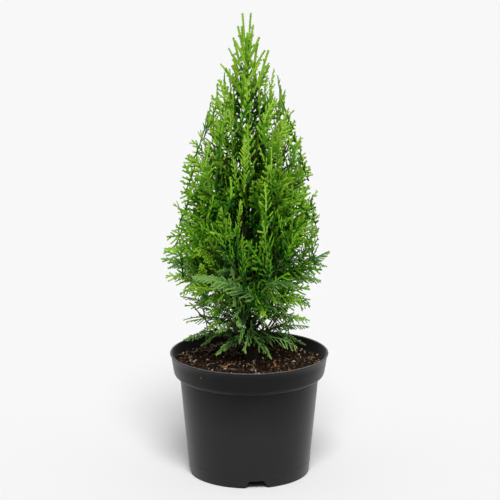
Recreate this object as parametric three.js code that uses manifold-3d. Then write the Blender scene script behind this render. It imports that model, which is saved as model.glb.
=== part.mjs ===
// A young conical thuja in a round black nursery pot: pot, soil, trunk, boughs and the masses
// of foliage that the boughs carry. Millimetres, +Z up; the pot stands on Z = 0 round the Z axis,
// and -Y is the front.
import * as THREE from "three";
import { mergeVertices } from "three/addons/utils/BufferGeometryUtils.js";
import Module from "manifold-3d";

const wasm = await Module();
wasm.setup();

// ---------- driving dimensions ----------
const GAP = 0.35; // clearance left between pieces that touch

const POT = {
  height: 132,
  rimRadius: 84.8,
  footRadius: 64.6,
  wall: 1.6,
  edge: 0.7, // the small bevel round the foot
  collarHeight: 25.5, // the thick band below the rim
  collarRadius: 80.8, // its outer radius at its lower edge
  collarTop: 82.9, // and under the lip
  collarCurve: 5, // height of the curve between body and collar
  shoulder: 74.4, // the body's outer radius under the collar
  lip: 2.4, // the rolled edge on top
  plateau: 49, // radius of the disc that the pot stands on, inside its skirt
  channel: 8.5, // height of the drainage channel round that disc
  segments: 48,
};
const NOTCH = { count: 4, turn: 7, topWidth: 15.5, footWidth: 25, height: 8 };
const DRAIN = { count: 8, radius: 3.5, circle: 56, sides: 8 };

const SOIL = {
  edge: 120.5, // height of the surface at the pot's wall
  middle: 122.5, // and round the trunk
  uneven: 0.9, // how far bumps and hollows stand off the smooth mound
  flat: 14, // radius of the flat patch that the trunk stands on
  segments: 32,
};

const TREE_TOP = 494;
const TRUNK = {
  foot: SOIL.middle + GAP,
  top: TREE_TOP - 18,
  footRadius: 4.4,
  topRadius: 0.9,
  flare: 3.2, // what the root flare adds to the foot's radius
  flareFall: 9, // height over which the flare dies away
  sides: 8,
  rings: 13,
};
// The trunk's slight bends: where its middle line stands at a few heights.
const TRUNK_BENDS = [
  [3, 2, TRUNK.foot],
  [-3, 0, 190],
  [-3.5, -1, 250],
  [-0.5, 0, 365],
  [-2.5, 0.5, TRUNK.top],
].map((p) => new THREE.Vector3(...p));

const CROWN = {
  widest: 97, // radius at the widest height
  widestAt: 250,
  top: 7, // radius of the blunt top, where two leading shoots stand side by side
  roundness: 1.22, // 1 is a straight cone above the widest height
  tuck: 0.35, // share of the radius lost at the foot
  tuckPower: 1.2,
  coreFoot: 17, // radius of the bare space round the trunk, at the soil
  coreTop: 1.6, // and at the tree's top
  clearOfSoil: 4,
};
// Tiers of masses from the soil to the leader. Foot and tip are the heights that a tier spans.
const TIERS = [
  { name: "skirt", count: 5, foot: 126, tip: 206, turn: 35, green: 0x2f5a24 },
  { name: "lower", count: 6, foot: 172, tip: 268, turn: 0, green: 0x3a6c1e },
  { name: "middle", count: 6, foot: 228, tip: 328, turn: 30, green: 0x44791f },
  { name: "upper", count: 4, foot: 290, tip: 388, turn: 10, green: 0x4f8623 },
  { name: "top", count: 3, foot: 350, tip: 444, turn: 75, green: 0x5a9229 },
  { name: "leader", count: 2, foot: 408, tip: TREE_TOP, turn: 0, green: 0x6a9c33 },
];
const MASS = {
  gap: 2.4, // between neighbouring masses
  swing: 0.1, // how unevenly a tier's masses are spaced, as a share of the spacing
  stagger: 11, // how much higher or lower a mass stands than its tier
  tipReach: 0.8, // where a mass's tip stands, as a share of the crown's radius there
  width: 1.6, // as a share of its room between its neighbours, which stop it
  depth: 1.6, // and of its room between trunk and outline
  rise: 0.55, // how steeply the boundary between two tiers rises outwards
  uneven: 0.2, // share of the radius taken off by the deepest hollows
  point: 0.45, // how much narrower than an egg the upper end is, so that it comes to a point
  around: 10,
  along: 8,
};
const BOUGH = {
  share: 0.42, // foot radius as a share of the trunk's there
  taper: 0.6, // tip radius as a share of the foot's
  least: 0.8,
  drop: 16, // how far below its mass a bough leaves the trunk
  clearOfSoil: 7,
  bow: 0.1, // how far it bows down, as a share of its length
  sides: 5,
  rings: 3,
};

// ---------- materials ----------
const look = (color, roughness) =>
  new THREE.MeshStandardMaterial({ color, roughness, metalness: 0 });
const POT_PLASTIC = look(0x2b2b2c, 0.55);
const PEAT = look(0x241a12, 0.95);
const BARK = look(0x6b4a33, 0.9);

// ---------- small helpers ----------
const { lerp, clamp, smoothstep, degToRad } = THREE.MathUtils;

// Repeatable variation between -1 and 1 for the n-th thing.
const vary = (n) => Math.sin(12.9898 * n);

const upright = (latheGeometry) => latheGeometry.rotateX(Math.PI / 2);

function named(name, geometry, material) {
  const mesh = new THREE.Mesh(geometry, material);
  mesh.name = name;
  return mesh;
}

function solidOf(geometry) {
  const bare = geometry.index ? geometry.toNonIndexed() : geometry.clone();
  bare.deleteAttribute("normal");
  bare.deleteAttribute("uv");
  const merged = mergeVertices(bare, 1e-3);
  return new wasm.Manifold(
    new wasm.Mesh({
      numProp: 3,
      vertProperties: merged.attributes.position.array,
      triVerts: new Uint32Array(merged.index.array),
    }),
  );
}

// The geometry of a solid's largest piece, since a cut can leave crumbs.
function geometryOf(solid) {
  const pieces = solid.decompose().sort((a, b) => b.volume() - a.volume());
  const mesh = pieces[0].getMesh();
  const geometry = new THREE.BufferGeometry();
  geometry.setAttribute("position", new THREE.BufferAttribute(mesh.vertProperties, 3));
  geometry.setIndex(new THREE.BufferAttribute(mesh.triVerts, 1));
  geometry.computeVertexNormals();
  return geometry;
}

// ---------- pot ----------
const potFloor = POT.channel + POT.wall;
const collarFoot = POT.height - POT.collarHeight;

// The pot's inside, from its floor to under its lip.
function innerWall() {
  const { shoulder, collarRadius, rimRadius, footRadius, wall, lip, height, collarCurve } = POT;
  const floorRadius = lerp(footRadius, shoulder, potFloor / collarFoot);
  return [
    new THREE.Vector2(floorRadius - wall, potFloor),
    new THREE.Vector2(shoulder - wall, collarFoot),
    new THREE.Vector2(shoulder, collarFoot + wall),
    new THREE.Vector2(collarRadius - wall, collarFoot + collarCurve + wall),
    new THREE.Vector2(rimRadius - lip, height - lip),
  ];
}

function innerRadius(z) {
  const wall = innerWall();
  const above = wall.findIndex((p) => p.y >= z);
  const [low, high] = [wall[Math.max(above, 1) - 1], wall[Math.max(above, 1)]];
  return lerp(low.x, high.x, (z - low.y) / (high.y - low.y));
}

function potProfile() {
  const { height, rimRadius, footRadius, wall, edge, collarRadius, collarCurve } = POT;
  const { collarTop, shoulder, lip, plateau, channel } = POT;
  const path = new THREE.Path();
  path.moveTo(0, 0);
  path.lineTo(plateau, 0);
  path.lineTo(plateau + edge, channel);
  path.lineTo(footRadius - wall, channel);
  path.lineTo(footRadius - wall, 0);
  path.lineTo(footRadius - edge, 0);
  path.lineTo(footRadius, edge);
  path.lineTo(shoulder, collarFoot);
  path.quadraticCurveTo(collarRadius, collarFoot, collarRadius, collarFoot + collarCurve);
  path.lineTo(collarTop, height - 1.5 * lip);
  path.quadraticCurveTo(rimRadius, height - lip, rimRadius, height - lip / 2);
  path.quadraticCurveTo(rimRadius, height, rimRadius - lip / 2, height);
  path.quadraticCurveTo(rimRadius - lip, height, rimRadius - lip, height - lip);
  innerWall().reverse().slice(1).forEach((p) => path.lineTo(p.x, p.y));
  path.lineTo(plateau - edge, potFloor);
  path.lineTo(plateau - wall, wall);
  path.lineTo(0, wall);
  return path.getPoints(2);
}

// A trapezoid block that stands through the skirt, a little below its foot.
function notchCutter(index) {
  const { topWidth, footWidth, height, count, turn } = NOTCH;
  const depth = 4 * POT.wall;
  const shape = new THREE.Shape([
    new THREE.Vector2(-footWidth / 2, -GAP),
    new THREE.Vector2(footWidth / 2, -GAP),
    new THREE.Vector2(topWidth / 2, height),
    new THREE.Vector2(-topWidth / 2, height),
  ]);
  const cutter = new THREE.ExtrudeGeometry(shape, { depth, bevelEnabled: false });
  cutter.rotateX(Math.PI / 2);
  cutter.translate(0, depth / 2 - POT.footRadius, 0);
  cutter.rotateZ(degToRad(turn + (360 / count) * index));
  return solidOf(cutter);
}

function drainCutter(index) {
  const { radius, circle, sides, count } = DRAIN;
  const hole = new THREE.CylinderGeometry(radius, radius, 4 * POT.wall, sides);
  hole.rotateX(Math.PI / 2);
  hole.translate(circle, 0, POT.channel + POT.wall / 2);
  hole.rotateZ(degToRad((360 / count) * (index + 0.5)));
  return solidOf(hole);
}

function pot() {
  let solid = solidOf(upright(new THREE.LatheGeometry(potProfile(), POT.segments)));
  for (let i = 0; i < NOTCH.count; i++) solid = solid.subtract(notchCutter(i));
  for (let i = 0; i < DRAIN.count; i++) solid = solid.subtract(drainCutter(i));
  return named("pot", geometryOf(solid), POT_PLASTIC);
}

// ---------- soil ----------
// The soil's surface: a low mound, flat where the trunk stands, with small hollows elsewhere.
function soilHeight(x, y) {
  const outward = smoothstep(Math.hypot(x, y), SOIL.flat, POT.shoulder);
  const ripple = (Math.sin(x / 9 + 1) * Math.cos(y / 11) + Math.sin((x - y) / 6)) / 2;
  return lerp(SOIL.middle, SOIL.edge, outward) + SOIL.uneven * ripple * outward;
}

function soil() {
  const floor = potFloor + GAP;
  const edgeFoot = SOIL.edge - 2 * SOIL.uneven;
  const bends = innerWall().map((p) => p.y).filter((z) => z > floor && z < edgeFoot);
  const rim = innerRadius(SOIL.edge) - GAP;
  const rings = 6;
  const profile = [
    new THREE.Vector2(0, floor),
    ...[floor, ...bends, edgeFoot].map((z) => new THREE.Vector2(innerRadius(z) - GAP, z)),
  ];
  for (let i = 0; i < rings; i++) {
    profile.push(new THREE.Vector2(lerp(rim, SOIL.flat, i / (rings - 1)), SOIL.edge));
  }
  profile.push(new THREE.Vector2(0, SOIL.edge));
  const geometry = upright(new THREE.LatheGeometry(profile, SOIL.segments));
  const place = geometry.getAttribute("position");
  for (let i = 0; i < place.count; i++) {
    if (place.getZ(i) < SOIL.edge - GAP) continue;
    place.setZ(i, soilHeight(place.getX(i), place.getY(i)));
  }
  return named("soil", geometryOf(solidOf(geometry)), PEAT);
}

// ---------- trunk ----------
const trunkLine = new THREE.CatmullRomCurve3(TRUNK_BENDS, false, "centripetal");

// The point on the trunk's middle line at height z, found by halving.
function trunkAt(z) {
  let low = 0;
  let high = 1;
  for (let i = 0; i < 24; i++) {
    const middle = (low + high) / 2;
    if (trunkLine.getPoint(middle).z < z) low = middle;
    else high = middle;
  }
  return trunkLine.getPoint(low);
}

function trunkRadius(z) {
  const up = clamp((z - TRUNK.foot) / (TRUNK.top - TRUNK.foot), 0, 1);
  const flare = TRUNK.flare * Math.exp(-(z - TRUNK.foot) / TRUNK.flareFall);
  return lerp(TRUNK.footRadius, TRUNK.topRadius, up) + flare;
}

// A cylinder whose level rings follow the trunk, closer together near its foot. `extra` makes it
// wider and longer all round.
function trunkGeometry(extra = 0) {
  const { foot, top, sides, rings } = TRUNK;
  const geometry = new THREE.CylinderGeometry(1, 1, 1, sides, rings).rotateX(Math.PI / 2);
  const place = geometry.getAttribute("position");
  for (let i = 0; i < place.count; i++) {
    const up = Math.pow(clamp(place.getZ(i) + 0.5, 0, 1), 1.5);
    const z = lerp(foot, top, up);
    const centre = trunkAt(z);
    const radius = trunkRadius(z) + extra;
    const end = up === 0 ? -extra : up === 1 ? extra : 0;
    place.setXYZ(i, centre.x + place.getX(i) * radius, centre.y + place.getY(i) * radius, z + end);
  }
  return geometry;
}

// ---------- masses of foliage ----------
function crownRadius(z) {
  const { widest, widestAt, top, roundness, tuck, tuckPower } = CROWN;
  if (z > TREE_TOP) return 0;
  if (z > widestAt) {
    return lerp(widest, top, Math.pow((z - widestAt) / (TREE_TOP - widestAt), roundness));
  }
  return widest * (1 - tuck * Math.pow((widestAt - z) / (widestAt - TRUNK.foot), tuckPower));
}

function coreRadius(z) {
  const up = clamp((z - TRUNK.foot) / (TREE_TOP - TRUNK.foot), 0, 1);
  return lerp(CROWN.coreFoot, CROWN.coreTop, Math.sqrt(up));
}

// Where the i-th mass of a tier stands: its centre, the way to its tip, and its half sizes.
function massSite(tier, i) {
  const azimuth = degToRad(tier.turn + (360 / tier.count) * (i + MASS.swing * vary(i + tier.count)));
  const lift = tier.tip < TREE_TOP ? MASS.stagger * vary(3 * i + tier.foot) : 0;
  const foot = tier.foot + lift;
  const tip = tier.tip + lift;
  const middle = (foot + tip) / 2;
  const reach = crownRadius(middle);
  const inner = coreRadius(middle);
  const outward = new THREE.Vector3(Math.cos(azimuth), Math.sin(azimuth), 0);
  const centre = trunkAt(middle).addScaledVector(outward, (inner + reach) / 2);
  const furthest = trunkAt(tip).addScaledVector(outward, MASS.tipReach * crownRadius(tip)).setZ(tip);
  return {
    name: `${tier.name}_${i + 1}`,
    green: tier.green,
    seed: tier.foot + 7 * i,
    foot,
    tip,
    outward,
    centre,
    lean: furthest.clone().sub(centre).normalize(),
    halfLong: furthest.distanceTo(centre),
    halfDeep: (MASS.depth * (reach - inner)) / 2,
    halfWide: (MASS.width * Math.PI * (reach + inner)) / 2 / tier.count,
  };
}

// A flat boundary half way between two masses. Between tiers it rises outwards, as the boughs do.
function boundary(site, other) {
  const middle = site.centre.clone().add(other.centre).multiplyScalar(0.5);
  const normal = other.centre.clone().sub(site.centre);
  const outward = new THREE.Vector3(middle.x, middle.y, 0).normalize();
  normal.addScaledVector(outward, -MASS.rise * normal.z).normalize();
  return { normal, point: middle.addScaledVector(normal, -MASS.gap / 2) };
}

function coreBoundary({ outward, centre, foot, tip }) {
  const slope = (coreRadius(foot) - coreRadius(tip)) / (tip - foot);
  const point = trunkAt(centre.z).addScaledVector(outward, coreRadius(centre.z));
  return { normal: outward.clone().negate().setZ(-slope).normalize(), point };
}

function soilBoundary() {
  const point = new THREE.Vector3(0, 0, SOIL.middle + CROWN.clearOfSoil);
  return { normal: new THREE.Vector3(0, 0, -1), point };
}

// Bumps and hollows, from 0 to 1, in the direction of a unit vector. Both ends stay whole.
function hollows(direction, seed) {
  const { x, y, z } = direction;
  const bump = Math.sin(4.1 * x + seed) + Math.sin(4.7 * y + 2 * seed) + Math.sin(5.3 * z + 3 * seed);
  return (0.5 + bump / 6) * (1 - y ** 4);
}

function insideCrown(point) {
  const axis = trunkAt(clamp(point.z, TRUNK.foot, TRUNK.top));
  return Math.hypot(point.x - axis.x, point.y - axis.y) <= crownRadius(point.z);
}

// How far along `offset` a mass may reach, as a share of it: up to every boundary and the outline.
function reachShare(centre, offset, boundaries) {
  let share = 1;
  for (const { normal, point } of boundaries) {
    const towards = normal.dot(offset);
    if (towards > 0) share = Math.min(share, normal.dot(point.clone().sub(centre)) / towards);
  }
  let low = 0;
  let high = share;
  for (let i = 0; i < 14; i++) {
    const middle = (low + high) / 2;
    if (insideCrown(centre.clone().addScaledVector(offset, middle))) low = middle;
    else high = middle;
  }
  return low;
}

// A sphere drawn out into a pointed egg along the site's lean, and cut short by its boundaries.
function massGeometry(site, boundaries) {
  const geometry = new THREE.SphereGeometry(1, MASS.around, MASS.along);
  const place = geometry.getAttribute("position");
  const across = new THREE.Vector3().crossVectors(site.lean, site.outward).normalize();
  const deep = new THREE.Vector3().crossVectors(across, site.lean);
  const direction = new THREE.Vector3();
  for (let i = 0; i < place.count; i++) {
    direction.fromBufferAttribute(place, i);
    const slim = 1 - MASS.point * Math.max(0, direction.y);
    const offset = new THREE.Vector3()
      .addScaledVector(site.lean, direction.y * site.halfLong)
      .addScaledVector(across, direction.x * site.halfWide * slim)
      .addScaledVector(deep, direction.z * site.halfDeep * slim);
    const share = reachShare(site.centre, offset, boundaries);
    const kept = share * (1 - MASS.uneven * hollows(direction, site.seed));
    const point = site.centre.clone().addScaledVector(offset, kept);
    place.setXYZ(i, point.x, point.y, point.z);
  }
  return geometry;
}

// ---------- boughs ----------
// A bough's line: out of the trunk below its mass, and in a shallow bow to where it enters it.
function boughLine(site) {
  const start = trunkAt(Math.max(site.foot - BOUGH.drop, TRUNK.foot + BOUGH.clearOfSoil));
  const towards = site.centre.clone().sub(start).normalize();
  const mass = new THREE.Mesh(site.geometry, new THREE.MeshBasicMaterial({ side: THREE.DoubleSide }));
  const [hit] = new THREE.Raycaster(start, towards).intersectObject(mass);
  const end = hit.point.addScaledVector(towards, -GAP);
  const bow = start.clone().lerp(end, 0.5);
  bow.z -= BOUGH.bow * start.distanceTo(end);
  return new THREE.QuadraticBezierCurve3(start, bow, end);
}

// A tapering limb along a line; `extra` makes it wider and longer all round.
function limbGeometry(line, extra = 0) {
  const { share, taper, least, sides, rings } = BOUGH;
  const footRadius = Math.max(least, share * trunkRadius(line.v0.z));
  const tipRadius = Math.max(least, taper * footRadius);
  const geometry = new THREE.CylinderGeometry(1, 1, 1, sides, rings);
  const place = geometry.getAttribute("position");
  const frames = line.computeFrenetFrames(rings);
  for (let i = 0; i < place.count; i++) {
    const ring = Math.round((place.getY(i) + 0.5) * rings);
    const radius = lerp(footRadius, tipRadius, ring / rings) + extra;
    const end = ring === 0 ? -extra : ring === rings ? extra : 0;
    const point = line
      .getPointAt(ring / rings)
      .addScaledVector(frames.binormals[ring], place.getX(i) * radius)
      .addScaledVector(frames.normals[ring], place.getZ(i) * radius)
      .addScaledVector(frames.tangents[ring], end);
    place.setXYZ(i, point.x, point.y, point.z);
  }
  return geometry;
}

// ---------- the whole tree ----------
function tree() {
  const group = new THREE.Group();
  group.add(named("trunk", geometryOf(solidOf(trunkGeometry())), BARK));

  const sites = TIERS.flatMap((tier) => Array.from({ length: tier.count }, (_, i) => massSite(tier, i)));
  for (const site of sites) {
    const neighbours = sites.filter((other) => other !== site);
    const boundaries = neighbours.map((other) => boundary(site, other));
    site.geometry = massGeometry(site, [...boundaries, coreBoundary(site), soilBoundary()]);
  }

  const trunkClearance = solidOf(trunkGeometry(GAP));
  let limbClearance = trunkClearance;
  for (const site of sites) {
    const line = boughLine(site);
    const bough = solidOf(limbGeometry(line)).subtract(trunkClearance);
    group.add(named(`bough_${site.name}`, geometryOf(bough), BARK));
    limbClearance = limbClearance.add(solidOf(limbGeometry(line, GAP)));
  }
  for (const site of sites) {
    const mass = solidOf(site.geometry).subtract(limbClearance);
    group.add(named(`mass_${site.name}`, geometryOf(mass), look(site.green, 0.75)));
  }
  return group;
}

const pottedThuja = new THREE.Group();
pottedThuja.add(pot(), soil(), tree());

export default pottedThuja;
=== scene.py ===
"""The looks of a young potted thuja, made round its CAD frame. Metres, +Z up, -Y the front."""

import math
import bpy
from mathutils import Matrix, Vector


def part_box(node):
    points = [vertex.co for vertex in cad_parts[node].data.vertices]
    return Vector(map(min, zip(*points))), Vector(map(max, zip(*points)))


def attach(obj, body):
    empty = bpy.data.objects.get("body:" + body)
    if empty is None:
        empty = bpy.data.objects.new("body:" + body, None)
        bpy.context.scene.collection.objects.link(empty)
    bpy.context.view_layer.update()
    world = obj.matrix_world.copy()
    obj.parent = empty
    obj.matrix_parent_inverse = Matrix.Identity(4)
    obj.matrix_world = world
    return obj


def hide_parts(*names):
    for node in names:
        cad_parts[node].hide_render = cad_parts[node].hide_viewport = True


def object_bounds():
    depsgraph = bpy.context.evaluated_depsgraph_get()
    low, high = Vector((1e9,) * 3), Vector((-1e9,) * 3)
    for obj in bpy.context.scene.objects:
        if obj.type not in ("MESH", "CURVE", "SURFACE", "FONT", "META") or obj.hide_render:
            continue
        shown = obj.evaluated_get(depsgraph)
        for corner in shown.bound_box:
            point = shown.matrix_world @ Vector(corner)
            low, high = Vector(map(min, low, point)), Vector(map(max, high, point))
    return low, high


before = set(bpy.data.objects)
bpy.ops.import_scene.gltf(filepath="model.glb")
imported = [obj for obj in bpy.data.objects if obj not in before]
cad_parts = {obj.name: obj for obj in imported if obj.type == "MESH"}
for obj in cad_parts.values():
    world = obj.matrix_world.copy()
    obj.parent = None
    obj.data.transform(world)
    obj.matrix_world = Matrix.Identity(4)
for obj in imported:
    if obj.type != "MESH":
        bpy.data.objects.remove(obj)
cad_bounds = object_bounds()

from types import SimpleNamespace as Sizes

import bmesh
import bpy
import numpy as np
from mathutils import Vector, noise

MM = 0.001
UP = np.array([0.0, 0.0, 1.0])

# ---- small helpers


def unit(v):
    """v, or each row of v, scaled to length 1."""
    v = np.asarray(v, float)
    return v / np.maximum(np.linalg.norm(v, axis=-1, keepdims=True), 1e-12)


def turned(v, axis, angle):
    """v turned about a unit axis by an angle in radians."""
    along = axis * np.dot(axis, v) * (1 - math.cos(angle))
    return v * math.cos(angle) + np.cross(axis, v) * math.sin(angle) + along


def level_at(angle):
    """The level direction at an angle round the Z axis."""
    return np.array([math.cos(angle), math.sin(angle), 0])


def bezier(p0, p1, p2, t):
    """Points and unit tangents of a quadratic Bezier curve at the values t."""
    t = np.asarray(t, float)[:, None]
    points = (1 - t) ** 2 * p0 + 2 * t * (1 - t) * p1 + t**2 * p2
    slopes = 2 * (1 - t) * (p1 - p0) + 2 * t * (p2 - p1)
    return points, unit(slopes)


def placed(name, data):
    """A new object in the scene."""
    made = bpy.data.objects.new(name, data)
    bpy.context.scene.collection.objects.link(made)
    return made


def new_object(name, mesh, material, slot, *nodes):
    """A piece of the plant or pot: it rides on the root and stands for the given CAD nodes."""
    piece = placed(name, mesh)
    mesh.materials.clear()
    mesh.materials.append(material)
    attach(piece, "root")
    if nodes:
        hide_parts(*nodes)
    return piece


def mesh_from(name, vertices, faces, smooth=True):
    """A mesh from an array of vertices and a list of arrays of faces."""
    mesh = bpy.data.meshes.new(name)
    loops = np.concatenate([f.ravel() for f in faces]).astype(np.int32)
    totals = np.concatenate([np.full(len(f), f.shape[1]) for f in faces]).astype(np.int32)
    starts = np.concatenate([[0], np.cumsum(totals)[:-1]]).astype(np.int32)
    mesh.vertices.add(len(vertices))
    mesh.vertices.foreach_set("co", np.asarray(vertices, np.float32).ravel())
    mesh.loops.add(len(loops))
    mesh.loops.foreach_set("vertex_index", loops)
    mesh.polygons.add(len(totals))
    mesh.polygons.foreach_set("loop_start", starts)
    mesh.polygons.foreach_set("loop_total", totals)
    mesh.polygons.foreach_set("use_smooth", np.full(len(totals), smooth))
    mesh.update(calc_edges=True)
    mesh.validate()
    return mesh


def mesh_of(shape, name):
    """A mesh from a bmesh, which is freed."""
    mesh = bpy.data.meshes.new(name)
    shape.to_mesh(mesh)
    shape.free()
    return mesh


def ring_quads(rings, sides):
    """The quads between rings of points that follow one another, each of as many points."""
    here = np.arange(sides)[None, :]
    after = (here + 1) % sides
    base = sides * np.arange(rings - 1)[:, None]
    quads = [base + here, base + after, base + after + sides, base + here + sides]
    return np.stack(quads, -1).reshape(-1, 4)


def end_fan(centre, first, sides):
    """The triangles from a ring, whose points start at `first`, to a centre point."""
    here = np.arange(sides)
    return np.stack([first + here, first + (here + 1) % sides, np.full(sides, centre)], -1)


def noise_at(x, y, z):
    """Smooth noise from -1 to 1."""
    return noise.noise(Vector((x, y, z)))


# ---- what the frame says


def node_points(name):
    """A CAD node's corners, each once."""
    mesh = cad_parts[name].data
    co = np.zeros(len(mesh.vertices) * 3, np.float32)
    mesh.vertices.foreach_get("co", co)
    return np.unique(np.round(co.reshape(-1, 3).astype(float), 6), axis=0)


def node_triangles(name):
    """A CAD node's triangles, as an array of three corners each."""
    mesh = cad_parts[name].data
    mesh.calc_loop_triangles()
    return np.array([[mesh.vertices[i].co for i in t.vertices] for t in mesh.loop_triangles], float)


def trunk_rings():
    """Height, middle and radius of each level ring of the CAD trunk."""
    points = node_points("trunk")
    rings = []
    for z in np.unique(np.round(points[:, 2], 4)):
        ring = points[np.abs(points[:, 2] - z) < 0.1 * MM]
        low, high = ring[:, :2].min(0), ring[:, :2].max(0)
        rings.append([z, *((low + high) / 2), (high - low).max() / 2])
    return np.array(rings)


RINGS = trunk_rings()
TRUNK_FOOT, TRUNK_TOP = RINGS[0, 0], RINGS[-1, 0]
TREE_TOP = cad_bounds[1][2]


def trunk_at(z):
    """The trunk's middle line at the heights z. Above its top, the line goes straight up."""
    z = np.asarray(z, float)
    x = np.interp(z, RINGS[:, 0], RINGS[:, 1])
    y = np.interp(z, RINGS[:, 0], RINGS[:, 2])
    return np.stack([x, y, z], axis=-1)


def bough_line(name):
    """Foot, bow and tip of a CAD bough, which are the control points of its curve."""
    bow_share = 0.1
    points = node_points(name)
    out = np.linalg.norm(points[:, :2] - trunk_at(points[:, 2])[:, :2], axis=1)
    order = out.argsort()
    foot, tip = points[order[:3]].mean(0), points[order[-4:]].mean(0)
    bow = (foot + tip) / 2 - UP * bow_share * np.linalg.norm(tip - foot)
    return foot, bow, tip


MASSES = sorted(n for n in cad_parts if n.startswith("mass_"))
BOUGHS = sorted(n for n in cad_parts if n.startswith("bough_"))
CROWN_POINTS = np.concatenate([node_points(n) for n in MASSES])


def crown_reach(z):
    """How far out the crown reaches at the height z."""
    near = CROWN_POINTS[np.abs(CROWN_POINTS[:, 2] - z) < 14 * MM]
    if not len(near):
        return 6 * MM
    return np.linalg.norm(near[:, :2] - trunk_at(z)[:2], axis=1).max()


# ---- materials


def principled(name, color, roughness, specular=0.5):
    """A material with its Principled shader, node tree and links."""
    material = bpy.data.materials.new(name)
    material.use_nodes = True
    tree = material.node_tree
    shader = tree.nodes["Principled BSDF"]
    shader.inputs["Base Color"].default_value = (*color, 1)
    shader.inputs["Roughness"].default_value = roughness
    shader.inputs["Specular IOR Level"].default_value = specular
    return material, tree, shader


def noise_node(tree, scale, detail=3.0, stretch=(1, 1, 1)):
    """A noise texture in the object's own metres."""
    place = tree.nodes.new("ShaderNodeTexCoord")
    mapping = tree.nodes.new("ShaderNodeMapping")
    mapping.inputs["Scale"].default_value = stretch
    texture = tree.nodes.new("ShaderNodeTexNoise")
    texture.inputs["Scale"].default_value = scale
    texture.inputs["Detail"].default_value = detail
    tree.links.new(place.outputs["Object"], mapping.inputs["Vector"])
    tree.links.new(mapping.outputs["Vector"], texture.inputs["Vector"])
    return texture


def color_by(tree, value, stops, target):
    """Colours the target socket by a value socket, through a ramp of (place, colour) stops."""
    ramp = tree.nodes.new("ShaderNodeValToRGB")
    for i, (place, color) in enumerate(stops):
        stop = ramp.color_ramp.elements[i] if i < 2 else ramp.color_ramp.elements.new(place)
        stop.position = place
        stop.color = (*color, 1)
    tree.links.new(value, ramp.inputs["Fac"])
    tree.links.new(ramp.outputs["Color"], target)


def height_of(tree):
    """A socket with the height above the floor."""
    place = tree.nodes.new("ShaderNodeTexCoord")
    split = tree.nodes.new("ShaderNodeSeparateXYZ")
    tree.links.new(place.outputs["Object"], split.inputs["Vector"])
    return split.outputs["Z"]


def ranged(tree, value, low, high, to_low=0.0, to_high=1.0):
    """A socket's values from low to high, mapped to to_low and to_high."""
    node = tree.nodes.new("ShaderNodeMapRange")
    limits = {"From Min": low, "From Max": high, "To Min": to_low, "To Max": to_high}
    for key, limit in limits.items():
        node.inputs[key].default_value = limit
    tree.links.new(value, node.inputs["Value"])
    return node.outputs["Result"]


def math_node(tree, operation, first, second, third=None):
    """A maths node's output. The second input is a number or a socket."""
    node = tree.nodes.new("ShaderNodeMath")
    node.operation = operation
    tree.links.new(first, node.inputs[0])
    if isinstance(second, float):
        node.inputs[1].default_value = second
    else:
        tree.links.new(second, node.inputs[1])
    if third:
        tree.links.new(third, node.inputs[2])
    return node.outputs["Value"]


def color_mix(tree, factor, target):
    """A mix of two colours, by a factor socket, that goes to the target: its two inputs."""
    mix = tree.nodes.new("ShaderNodeMix")
    mix.data_type = "RGBA"
    tree.links.new(factor, mix.inputs["Factor"])
    tree.links.new(mix.outputs["Result"], target)
    return mix.inputs["A"], mix.inputs["B"]


def bump_by(tree, texture, shader, strength, distance):
    """Bumps the shader's surface by a texture."""
    bump = tree.nodes.new("ShaderNodeBump")
    bump.inputs["Strength"].default_value = strength
    bump.inputs["Distance"].default_value = distance
    tree.links.new(texture.outputs["Fac"], bump.inputs["Height"])
    tree.links.new(bump.outputs["Normal"], shader.inputs["Normal"])


def shade(color, factor):
    """A colour made darker or lighter."""
    return tuple(min(1.0, c * factor) for c in color)


def mottled(name, color, roughness, specular, scale, bump, stretch=(1, 1, 1), low=0.8, high=1.2):
    """A rough natural surface: one colour, lighter and darker in spots, and a bump of that size."""
    material, tree, shader = principled(name, color, roughness, specular)
    texture = noise_node(tree, scale, 3, stretch)
    stops = [(0.3, shade(color, low)), (0.7, shade(color, high))]
    color_by(tree, texture.outputs["Fac"], stops, shader.inputs["Base Color"])
    bump_by(tree, texture, shader, 0.5, bump)
    return material


# ---- pot

# Radii and heights in millimetres. The band is the faint one below the collar.
POT = Sizes(height=132, rim=84.8, foot=64.6, shoulder=74.4, collar_foot=106.5, collar=80.8,
            collar_top=82.9, wall=1.6, lip=2.4, plateau=49, channel=8.5, band=6.5, segments=144)
NOTCH = Sizes(count=4, turn=7, top=15.5, foot=25, height=8)
DRAIN = Sizes(count=8, radius=3.5, circle=56)


def curve(p0, p1, p2, count=6):
    """Points along a Bezier corner, without its first point."""
    corners = [np.array(p, float) for p in (p0, p1, p2)]
    points, _ = bezier(*corners, np.linspace(0, 1, count))
    return [tuple(p) for p in points[1:]]


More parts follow.
